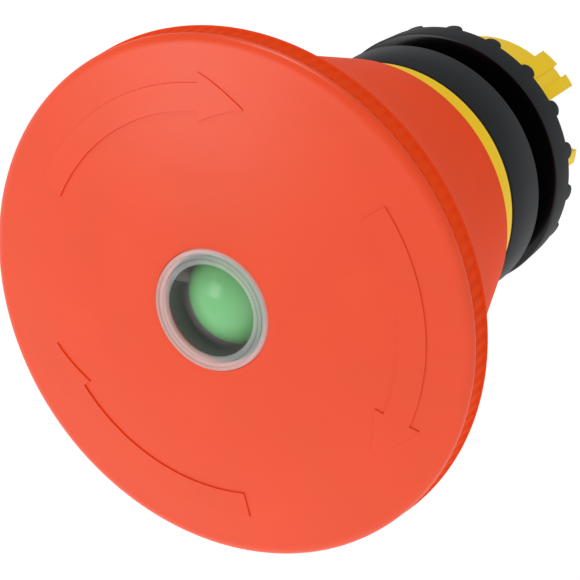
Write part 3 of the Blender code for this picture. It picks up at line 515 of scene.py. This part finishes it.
# ---------------------------------------------------------------- pieces of the head
class STOPBUTTON_OT_palm(bpy.types.Operator):
    """Model the crowned red face"""
    bl_idname = "stopbutton.palm"
    bl_label = "Palm Face"

    def execute(self, context):
        bore, land = LENS_R + 0.06, WINDOW_R - 0.45
        seat = WINDOW_FRONT - 1.0
        rim = CAP_REAR + 1.9
        corner, wall = 1.45, 2.2
        start, shoulder = bore + 0.2, CAP_R - corner
        lip, hub = CAP_R - 3.4, 9.5
        outline = [(land, seat), (bore, seat), (bore, face_height(bore) - 0.15),
                   (bore + 0.06, face_height(bore) - 0.04), (start, face_height(start))]
        outline += [(r, face_height(r)) for r in spaced(start, shoulder, 26)[1:]]
        outline += self.rounded_corner(shoulder, corner, face_height(shoulder), rim + 0.1)
        outline += [(CAP_R, rim), (CAP_R - 2.0, rim), (lip, rim)]
        outline += [(r, face_height(r) - wall) for r in spaced(lip, hub, 3)]
        outline += [(hub, seat - 0.85), (land, seat - 0.85)]
        palm = turned("palm_face", outline, 256)
        finished(palm, red_polyester(), "head", "red_plastic", "palm_cap")
        return {"FINISHED"}

    def rounded_corner(self, inner, width, top, foot):
        """The shoulder's curve, from the face's slope down to the upright rim."""
        steepest = math.radians(75)
        points = []
        for angle in spaced(steepest, 0, 8)[1:]:
            along = (math.cos(angle) - math.cos(steepest)) / (1 - math.cos(steepest))
            down = 1 - math.sin(angle) / math.sin(steepest)
            points.append((inner + width * along, top - (top - foot) * down))
        return points


class STOPBUTTON_OT_arrows(bpy.types.Operator):
    """Model the three raised arrows"""
    bl_idname = "stopbutton.arrows"
    bl_label = "Release Arrows"

    tail, neck, tip = 157.4, 97.2, 83.4  # degrees, anticlockwise from the right
    shaft, barb = 1.5, 2.65  # half widths, in millimetres
    columns = 32

    def execute(self, context):
        middle = CAP_R - 6.45
        deselect_all()
        bpy.ops.mesh.primitive_grid_add(x_subdivisions=self.columns, y_subdivisions=3, size=1)
        arrow = started("release_arrow_1")
        neck_column = round(self.columns * (self.tail - self.neck) / (self.tail - self.tip))
        # the grid's middle third becomes the shaft, and its outer thirds the barbs of the head
        edit(arrow)
        choose(arrow, "VERT", lambda v: abs(v.co.y) < 0.4)
        bpy.ops.transform.resize(value=(1, self.shaft / (1 / 6), 1), center_override=(0, 0, 0))
        choose(arrow, "VERT", lambda v: abs(abs(v.co.y) - 0.5) < 1e-4)
        bpy.ops.transform.resize(value=(1, self.barb / 0.5, 1), center_override=(0, 0, 0))
        edge_x = neck_column / self.columns - 0.5
        choose(arrow, "FACE", lambda f: abs(f.center.y) > self.shaft + 0.01 and f.center.x < edge_x)
        bpy.ops.mesh.delete(type="FACE")
        for column in range(neck_column + 1, self.columns + 1):
            place = column / self.columns - 0.5
            left = max(0.03, (self.columns - column) / (self.columns - neck_column))
            choose(arrow, "VERT", lambda v: abs(v.co.x - place) < 1e-4)
            bpy.ops.transform.resize(value=(1, left, 1), center_override=(0, 0, 0))
        bpy.ops.mesh.select_all(action="SELECT")
        bpy.ops.mesh.extrude_region_move(TRANSFORM_OT_translate={"value": (0, 0, 1)})
        leave()
        self.wrapped(arrow, middle)
        close_up(arrow)
        softened(arrow, 0.07, 2, 40)
        red = red_polyester()
        finished(arrow, red, "head", "red_plastic")
        for number in (2, 3):
            twin = copy_of(arrow, f"release_arrow_{number}")
            twin.parent = None
            twin.matrix_world = Matrix.Identity(4)
            spun_round(twin, 120 * (number - 1))
            finished(twin, red, "head", "red_plastic")
        return {"FINISHED"}

    def wrapped(self, arrow, middle):
        """Lays the flat arrow on the crowned face, its lower side sunk in it and its tip bent inwards."""
        rise, sunk, tip_inwards = sizes().arrow_rise / MM, 0.4, 0.45
        neck = (self.tail - self.neck) / (self.tail - self.tip)
        for vertex in arrow.data.vertices:
            along = vertex.co.x + 0.5
            angle = math.radians(self.tail + (self.tip - self.tail) * along)
            radius = middle + vertex.co.y - tip_inwards * max(0, (along - neck) / (1 - neck))
            height = face_height(radius) + (rise if vertex.co.z > 0.5 else -sunk)
            vertex.co = (radius * math.cos(angle) * MM, -height * MM, radius * math.sin(angle) * MM)


class STOPBUTTON_OT_skirt(bpy.types.Operator):
    """Model the knurled rim and the trumpet-shaped neck"""
    bl_idname = "stopbutton.skirt"
    bl_label = "Grip Band and Neck"

    def execute(self, context):
        rim, band = BAND_FRONT, 2.6
        low = rim - band
        crest, inside = BAND_R - 0.15, BAND_R - 2.1
        outline = [(inside, rim), (crest - 0.25, rim), (crest - 0.2, rim - 0.06), (crest - 0.2, rim - 0.14)]
        outline += [(crest, rim - 0.3), (crest, low + 0.55), (BAND_R - 0.06, low + 0.42)]
        outline += [(BAND_R, low + 0.36), (BAND_R, low + 0.14), (BAND_R - 0.06, low + 0.05)]
        outline += [(BAND_R - 0.2, low)]
        outline += self.trumpet(BAND_R - 0.5, low - 0.3, inside - 0.05) + [(inside, low - 0.2)]
        teeth = sizes().grip_teeth
        per_tooth = 6
        skirt = turned("grip_and_neck", outline, per_tooth * teeth)
        pitch = math.tau / teeth
        shrink = 1 - sizes().grip_depth / MM / crest

        def in_groove(vertex):
            if abs(radius_of(vertex.co) - crest) > 0.01:
                return False
            place = round(math.atan2(vertex.co.z, vertex.co.x) / pitch * per_tooth)
            return place % per_tooth >= per_tooth / 2

        choose(skirt, "VERT", in_groove)
        bpy.ops.transform.resize(value=(shrink, 1, shrink), center_override=(0, 0, 0))
        close_up(skirt, 30)
        finished(skirt, matte_red_polyester(), "head", "red_plastic", "palm_skirt")
        return {"FINISHED"}

    def trumpet(self, mouth_r, mouth, most_inside):
        """The neck's outline, from its mouth down the outside to the rear edge and back up the inside."""
        neck_r, neck, wall = 17.35, SKIRT_REAR + 0.7, 1.4
        widening, power, steps = 0.36, 5, 24
        length = mouth - neck
        flare = mouth_r - neck_r - widening * length
        outer, inner = [], []
        for i, along in enumerate(spaced(1, 0, steps)):
            radius = neck_r + widening * length * along + flare * along**power
            height = neck + length * along
            slope = widening + flare / length * power * along ** (power - 1)
            thick = wall / math.hypot(1, slope)
            outer.append((radius, height))
            if radius - thick < most_inside and i % 3 == 0:
                inner.append((radius - thick, height + thick * slope))
        rear = [(neck_r - 0.06, neck - 0.18), (neck_r - 0.25, neck - 0.3), (neck_r - wall, neck - 0.3)]
        return outer + rear + inner[::-1]


class STOPBUTTON_OT_window(bpy.types.Operator):
    """Model the clear window with its cup and dome"""
    bl_idname = "stopbutton.window"
    bl_label = "Indicator Window"

    def execute(self, context):
        cup = BALL_R - 0.7
        tube = cup + 1.0
        outer_dome, inner_dome = BALL_R + 0.9, BALL_R + 0.35
        centre = BALL_HEIGHT
        seat = WINDOW_FRONT - 0.8

        def dome(radius, r):
            return centre + math.sqrt(radius**2 - r**2)

        hub, inside, steps = 0.15, cup + 0.1, 14
        outline = [(max(hub, r), dome(outer_dome, r)) for r in spaced(0, cup, steps)]
        outline += [(cup + 0.04, dome(outer_dome, cup) + 0.1), (cup + 0.05, WINDOW_FRONT - 0.4)]
        outline += [(inside, WINDOW_FRONT - 0.2), (cup + 0.22, WINDOW_FRONT - 0.06)]
        outline += [(cup + 0.4, WINDOW_FRONT)]
        for groove in (cup + 0.75, LENS_R - 0.5):
            outline += [(groove - 0.07, WINDOW_FRONT), (groove, WINDOW_FRONT - 0.14)]
            outline += [(groove + 0.07, WINDOW_FRONT)]
        outline += [(LENS_R - 0.25, WINDOW_FRONT), (LENS_R - 0.08, WINDOW_FRONT - 0.07)]
        outline += [(LENS_R, WINDOW_FRONT - 0.25), (LENS_R, seat), (tube, seat), (tube, WINDOW_REAR)]
        outline += [(inside, WINDOW_REAR)]
        outline += [(max(hub, r), dome(inner_dome, r)) for r in spaced(inside, 0, steps)]
        window = turned("clear_window", outline, 128, ends="collapse")
        finished(window, clear_polycarbonate(), "head", "clear_plastic", "indicator_window")
        window.data.materials.append(edge_polycarbonate())
        for face in window.data.polygons:
            if radius_of(face.center) > cup + 0.12 and -face.center.y > (seat - 0.1) * MM:
                face.material_index = 1
        return {"FINISHED"}


class STOPBUTTON_OT_indicator(bpy.types.Operator):
    """Model the two halves of the indicator ball"""
    bl_idname = "stopbutton.indicator"
    bl_label = "Indicator Ball"

    def half(self, name, side):
        """Half a ball with a rounded parting edge and the groove of the axle's bore."""
        radius, gap, bore_r, flattening = BALL_R + 0.15, 0.1, 0.9, 0.986
        parting = BALL_HEIGHT + side * gap
        rings = [(0.5, parting), (radius - 0.14, parting), (radius - 0.04, parting + side * 0.04)]
        for around in map(math.radians, spaced(2, 86, 21)):
            rings.append((radius * math.cos(around), parting + side * radius * flattening * math.sin(around)))
        ball = turned(name, rings, 96, "collapse")
        deselect_all()
        bpy.ops.mesh.primitive_cylinder_add(vertices=32, radius=bore_r * MM, depth=3 * BALL_R * MM,
                                            location=(0, -BALL_HEIGHT * MM, 0),
                                            rotation=(0, math.radians(90), 0))
        bore = started(name + "_bore")
        return combined(ball, bore, "DIFFERENCE")

    def execute(self, context):
        front = self.half("indicator_ready", 1)
        rear = self.half("indicator_stopped", -1)
        finished(front, green_styrene(), "indicator", "green_plastic", "indicator_green")
        finished(rear, red_styrene(), "indicator", "indicator_red", "indicator_red")
        return {"FINISHED"}


# ---------------------------------------------------------------- pieces fixed to the panel
class STOPBUTTON_OT_ring(bpy.types.Operator):
    """Model the yellow signal ring"""
    bl_idname = "stopbutton.ring"
    bl_label = "Signal Ring"

    def execute(self, context):
        inner = SPIGOT_R + 0.2
        outline = [(inner, RING_FRONT), (RING_R - 0.6, RING_FRONT), (RING_R - 0.35, RING_FRONT - 0.1)]
        outline += [(RING_R - 0.25, RING_FRONT - 0.35), (RING_R, RING_REAR + 0.25)]
        outline += [(RING_R - 0.04, RING_REAR + 0.06), (RING_R - 0.15, RING_REAR), (inner, RING_REAR)]
        ring = turned("signal_band", outline)
        finished(ring, yellow_polyester(), "housing", "yellow_plastic", "signal_ring")
        return {"FINISHED"}


class STOPBUTTON_OT_barrel(bpy.types.Operator):
    """Model the collar, the threaded barrel and its locating rib"""
    bl_idname = "stopbutton.barrel"
    bl_label = "Collar and Barrel"

    def execute(self, context):
        collar_front, collar_rear = RING_REAR - 0.3, GASKET_FRONT + 0.2
        root = BARREL_R - 0.75
        stem_hole, seal_seat = 5.5, 8.0
        seat_rear, seat_front = 8.6, 11.0
        outline = [(stem_hole, BARREL_FRONT), (SPIGOT_R - 0.15, BARREL_FRONT)]
        outline += [(SPIGOT_R, BARREL_FRONT - 0.15), (SPIGOT_R, collar_front)]
        outline += [(COLLAR_R - 0.35, collar_front)]
        outline += [(COLLAR_R - 0.1, collar_front - 0.1), (COLLAR_R, collar_front - 0.35)]
        outline += [(COLLAR_R, collar_rear + 0.25), (COLLAR_R - 0.08, collar_rear + 0.08)]
        outline += [(COLLAR_R - 0.25, collar_rear), (BARREL_R, collar_rear), (BARREL_R, -0.3), (root, -0.8)]
        outline += [(root, BARREL_REAR + 0.4), (root - 0.4, BARREL_REAR), (BARREL_BORE_R, BARREL_REAR)]
        outline += [(BARREL_BORE_R, seat_rear), (seal_seat, seat_rear), (seal_seat, seat_front)]
        outline += [(stem_hole, seat_front)]
        barrel = turned("collar_and_barrel", outline)
        black = black_polyamide()
        finished(barrel, black, "housing", "black_plastic", "barrel_body")
        # painted shade: the barrel's faces behind the collar, in the gap before the nut, get the near-black
        # material
        paint_gap_shade(barrel, lambda face: face.center.y > -(collar_rear + 0.01) * MM)
        # the thread sits in that gap and gets the same near-black painted shade
        finished(self.thread(root), shade_painted_polyamide(), "housing", "black_plastic")
        rib = block("locating_rib", (-1.4, -collar_rear, root - 0.2), (1.4, 1.5, BARREL_R + 1.2))
        softened(rib, 0.2, 3)
        finished(rib, black, "housing", "black_plastic")
        return {"FINISHED"}

    def thread(self, root):
        """One ridge round the barrel: a wedge spun about the axis, drawn out along it, lower at its ends."""
        pitch = sizes().thread_pitch / MM
        front, rear = -0.6, BARREL_REAR + 0.6
        steps, run_out = 72, 12
        count = round((front - rear) / pitch * steps)
        crest, foot = BARREL_R, root - 0.15
        corners = [(foot, 0.62), (crest, 0.12), (crest, -0.12), (foot, -0.62)]
        deselect_all()
        bpy.ops.mesh.primitive_circle_add(vertices=4, radius=1 * MM, fill_type="NGON")
        ridge = started("barrel_thread")
        for vertex, (radius, along) in zip(ridge.data.vertices, corners):
            vertex.co = (radius * MM, (0.3 - front + along) * MM, 0)
        edit(ridge)
        bpy.ops.mesh.select_all(action="SELECT")
        bpy.ops.mesh.spin(steps=count, angle=-math.tau * count / steps, center=(0, 0, 0), axis=(0, 1, 0))
        leave()
        for vertex in ridge.data.vertices:
            step = min(vertex.index // 4, count)
            vertex.co.y += pitch * step / steps * MM
            fade = max(0.05, min(1, step / run_out, (count - step) / run_out))
            radius = radius_of(vertex.co)
            if radius > foot + 0.1:
                shrink = (foot + (crest - foot) * fade) / radius
                vertex.co.x *= shrink
                vertex.co.z *= shrink
        return close_up(ridge, 25)


class STOPBUTTON_OT_gasket(bpy.types.Operator):
    """Model the rubber gasket behind the collar"""
    bl_idname = "stopbutton.gasket"
    bl_label = "Panel Gasket"

    def execute(self, context):
        inner = BARREL_R + 0.3
        outline = [(inner, GASKET_FRONT), (GASKET_R - 0.2, GASKET_FRONT), (GASKET_R, GASKET_FRONT - 0.2)]
        outline += [(GASKET_R, GASKET_REAR + 0.25), (GASKET_R - 0.25, GASKET_REAR), (inner, GASKET_REAR)]
        gasket = turned("rubber_gasket", outline)
        notch = block("gasket_notch", (-1.7, -GASKET_FRONT - 1, 8), (1.7, -GASKET_REAR + 1, inner + 1.2))
        combined(gasket, notch, "DIFFERENCE")
        close_up(gasket)
        finished(gasket, nitrile_rubber(), "housing", "rubber", "panel_gasket")
        return {"FINISHED"}


class STOPBUTTON_OT_nut(bpy.types.Operator):
    """Model the ring nut with its rounded knobs"""
    bl_idname = "stopbutton.nut"
    bl_label = "Ring Nut"

    def execute(self, context):
        outer, back = NUT_R - 0.1, NUT_FRONT - 3.7
        inner = BARREL_R + 0.3
        outline = [(inner, NUT_FRONT - 0.5), (inner + 0.5, NUT_FRONT), (outer - 0.35, NUT_FRONT)]
        outline += [(outer - 0.08, NUT_FRONT - 0.1), (outer, NUT_FRONT - 0.35), (outer - 0.25, back + 0.2)]
        outline += [(outer - 0.4, back), (inner + 1.3, back), (inner, back + 0.6)]
        nut = turned("ring_nut", outline, 144)
        knob = self.knob(back, outer)
        count = sizes().nut_knobs
        knobs = [knob] + [copy_of(knob, f"nut_knob_{i + 1}") for i in range(1, count)]
        for i, lug in enumerate(knobs):
            combined(nut, spun_round(lug, i * 360 / count), "UNION")
        close_up(nut, 30)
        finished(nut, black_polyamide(), "housing", "black_plastic", "fixing_nut")
        # painted shade: the nut's front face, towards the gap, gets the near-black material
        paint_gap_shade(nut, lambda face: face.center.y < -(NUT_FRONT - 0.1) * MM)
        return {"FINISHED"}

    def knob(self, back, outer):
        """A round-backed lug that lies along a radius, its outer end rounded over."""
        deselect_all()
        length, radius, first = 2.3, 1.0, -11
        bpy.ops.mesh.primitive_cylinder_add(vertices=28, radius=radius * MM, depth=length * MM,
                                            location=((outer - 0.25 - length / 2) * MM, -back * MM, 0),
                                            rotation=(0, math.radians(90), 0))
        knob = started("nut_knob_1")
        softened(knob, 0.25, 3, 50)
        return spun_round(knob, first)


class STOPBUTTON_OT_housing(bpy.types.Operator):
    """Model the yellow inner housing and the contact pusher behind it"""
    bl_idname = "stopbutton.housing"
    bl_label = "Inner Housing"

    def execute(self, context):
        housing = softened(cleaned_copy("mechanism_housing", "inner_housing"), 0.3, 3)
        finished(housing, yellow_polyester(), "housing", "yellow_plastic", "mechanism_housing")
        pusher = softened(cleaned_copy("contact_pusher", "rear_pusher"), 0.15)
        finished(pusher, grey_polyamide(), "plunger", "dark_plastic", "contact_pusher")
        finished(self.screw(), zinc_plate(), "plunger", "steel", "pusher_screw")
        return {"FINISHED"}

    def screw(self):
        """The pusher's screw: a low domed head with a cross recess."""
        shank, head = 1.15, SCREW_REAR + 1.1
        outline = [(0.15, SCREW_FRONT), (shank - 0.2, SCREW_FRONT), (shank, SCREW_FRONT - 0.3), (shank, head)]
        outline += [(SCREW_R - 0.1, head), (SCREW_R, head - 0.1), (SCREW_R, SCREW_REAR + 0.5)]
        outline += [(SCREW_R - 0.15, SCREW_REAR + 0.28), (SCREW_R - 0.7, SCREW_REAR + 0.08)]
        outline += [(0.15, SCREW_REAR)]
        screw = turned("rear_screw", outline, 48, ends="collapse")
        low, high = -SCREW_REAR - 0.6, -SCREW_REAR + 0.5
        arm, narrow = 1.35, 0.27
        for number, (half_x, half_z) in enumerate(((arm, narrow), (narrow, arm))):
            recess = block(f"recess_{number}", (-half_x, low, -half_z), (half_x, high, half_z))
            combined(screw, recess, "DIFFERENCE")
        return softened(screw, 0.05, 2, 40)


class STOPBUTTON_OT_spring(bpy.types.Operator):
    """Model the return spring at rest; the real spring shortens as the button is pressed"""
    bl_idname = "stopbutton.spring"
    bl_label = "Return Spring"

    def execute(self, context):
        wire, turns = 1.1, 5
        spring = coil("pressing_spring", SPRING_R - wire / 2, wire, SPRING_FRONT, SPRING_REAR, turns)
        finished(spring, drawn_wire(), "housing", "spring_steel", "return_spring")
        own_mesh(spring)
        return {"FINISHED"}


class STOPBUTTON_OT_hidden(bpy.types.Operator):
    """Give the inner CAD parts their finishes"""
    bl_idname = "stopbutton.hidden"
    bl_label = "Inner Parts"

    def execute(self, context):
        finishes = {
            "red_plastic": red_polyester(), "yellow_plastic": yellow_polyester(),
            "black_plastic": black_polyamide(), "dark_plastic": grey_polyamide(),
            "clear_plastic": clear_polycarbonate(), "acetal": natural_acetal(),
            "green_plastic": green_styrene(), "indicator_red": red_styrene(),
            "rubber": nitrile_rubber(), "steel": zinc_plate(), "spring_steel": drawn_wire(),
        }
        slots = {part["node"]: part["material_slot"] for part in frame["record"]["subparts"]}
        for name, node in frame["nodes"].items():
            for place in node.material_slots:
                place.material = finishes[slots[name]]
        return {"FINISHED"}


# ---------------------------------------------------------------- stage
class STOPBUTTON_OT_stage(bpy.types.Operator):
    """Lay the floor and set the lights and the camera"""
    bl_idname = "stopbutton.stage"
    bl_label = "Stage"

    azimuth, elevation = math.radians(30.75), math.radians(22.8)
    distance, lens = 0.7, 401.2
    aim = Vector((0, -0.0463, 0))
    aside, above = 0.00767, 0.00161  # from the aim to the middle of the frame

    def execute(self, context):
        self.floor()
        self.camera()
        self.world()
        self.softbox("overhead_softbox", (-0.13, -0.12, 0.8), 0.32, 2.1)
        self.softbox("front_left_softbox", (-0.5, -0.82, 0.13), 0.42, 1.55)
        bpy.context.scene.view_settings.view_transform = "Standard"
        return {"FINISHED"}

    def floor(self):
        deselect_all()
        width, below = 12, 0.6
        bpy.ops.mesh.primitive_plane_add(size=width, location=(0, 0, -below))
        floor = bpy.context.active_object
        floor.name = "studio_floor"
        white = new_material("White studio floor", Base_Color=(0.93, 0.93, 0.93, 1), Roughness=0.9,
                             Emission_Color=(1, 1, 1, 1), Emission_Strength=0.55)[0]
        floor.data.materials.append(white)

    def camera(self):
        back = Vector((math.sin(self.azimuth) * math.cos(self.elevation),
                       -math.cos(self.azimuth) * math.cos(self.elevation), math.sin(self.elevation)))
        right = Vector((math.cos(self.azimuth), math.sin(self.azimuth), 0))
        up = back.cross(right)
        data = bpy.data.cameras.new("camera")
        data.lens = self.lens
        data.clip_end = 30
        camera = bpy.data.objects.new("camera", data)
        bpy.context.scene.collection.objects.link(camera)
        camera.location = self.aim + back * self.distance
        target = self.aim + right * self.aside + up * self.above
        camera.rotation_euler = (target - camera.location).to_track_quat("-Z", "Y").to_euler()
        bpy.context.scene.camera = camera

    def world(self):
        """A white room, brightest from the horizon down, so that every low view ends in white."""
        world = bpy.data.worlds.new("white room")
        bpy.context.scene.world = world
        world.use_nodes = True
        tree = world.node_tree
        place = add_node(tree, "ShaderNodeTexCoord").outputs["Generated"]
        height = add_node(tree, "ShaderNodeSeparateXYZ", [("Vector", place)]).outputs["Z"]
        fade = add_node(tree, "ShaderNodeMapRange", [("Value", height)], From_Min=0.06, From_Max=0.3,
                        To_Min=1.0, To_Max=0.47)
        background = tree.nodes["Background"]
        background.inputs["Color"].default_value = (1, 1, 1, 1)
        tree.links.new(fade.outputs["Result"], background.inputs["Strength"])

    def softbox(self, name, place, size, power):
        data = bpy.data.lights.new(name, "AREA")
        data.shape = "SQUARE"
        data.size = size
        data.energy = power
        light = bpy.data.objects.new(name, data)
        bpy.context.scene.collection.objects.link(light)
        light.location = place
        light.rotation_euler = (self.aim - light.location).to_track_quat("-Z", "Y").to_euler()


class STOPBUTTON_PT_panel(bpy.types.Panel):
    """Lists the steps in the order in which they run"""
    bl_idname = "STOPBUTTON_PT_panel"
    bl_label = "Stop Button"
    bl_space_type = "VIEW_3D"
    bl_region_type = "UI"
    bl_category = "Stop Button"

    def draw(self, context):
        for group in (context.scene.stop_button_sizes, context.scene.stop_button_colours):
            for name in group.bl_rna.properties.keys():
                if name not in ("rna_type", "name"):
                    self.layout.prop(group, name)
        for step in STEPS:
            self.layout.operator(step.bl_idname)


STEPS = (
    STOPBUTTON_OT_hidden, STOPBUTTON_OT_palm, STOPBUTTON_OT_arrows, STOPBUTTON_OT_skirt,
    STOPBUTTON_OT_window, STOPBUTTON_OT_indicator, STOPBUTTON_OT_ring, STOPBUTTON_OT_barrel,
    STOPBUTTON_OT_gasket, STOPBUTTON_OT_nut, STOPBUTTON_OT_housing, STOPBUTTON_OT_spring,
    STOPBUTTON_OT_stage,
)
CLASSES = (StopButtonSizes, StopButtonColours, *STEPS, STOPBUTTON_PT_panel)


def register():
    for cls in CLASSES:
        bpy.utils.register_class(cls)
    bpy.types.Scene.stop_button_sizes = bpy.props.PointerProperty(type=StopButtonSizes)
    bpy.types.Scene.stop_button_colours = bpy.props.PointerProperty(type=StopButtonColours)


def unregister():
    del bpy.types.Scene.stop_button_colours
    del bpy.types.Scene.stop_button_sizes
    for cls in reversed(CLASSES):
        bpy.utils.unregister_class(cls)


def main():
    register()
    for step in STEPS:
        group, name = step.bl_idname.split(".")
        getattr(getattr(bpy.ops, group), name)()


if __name__ == "__main__":
    main()
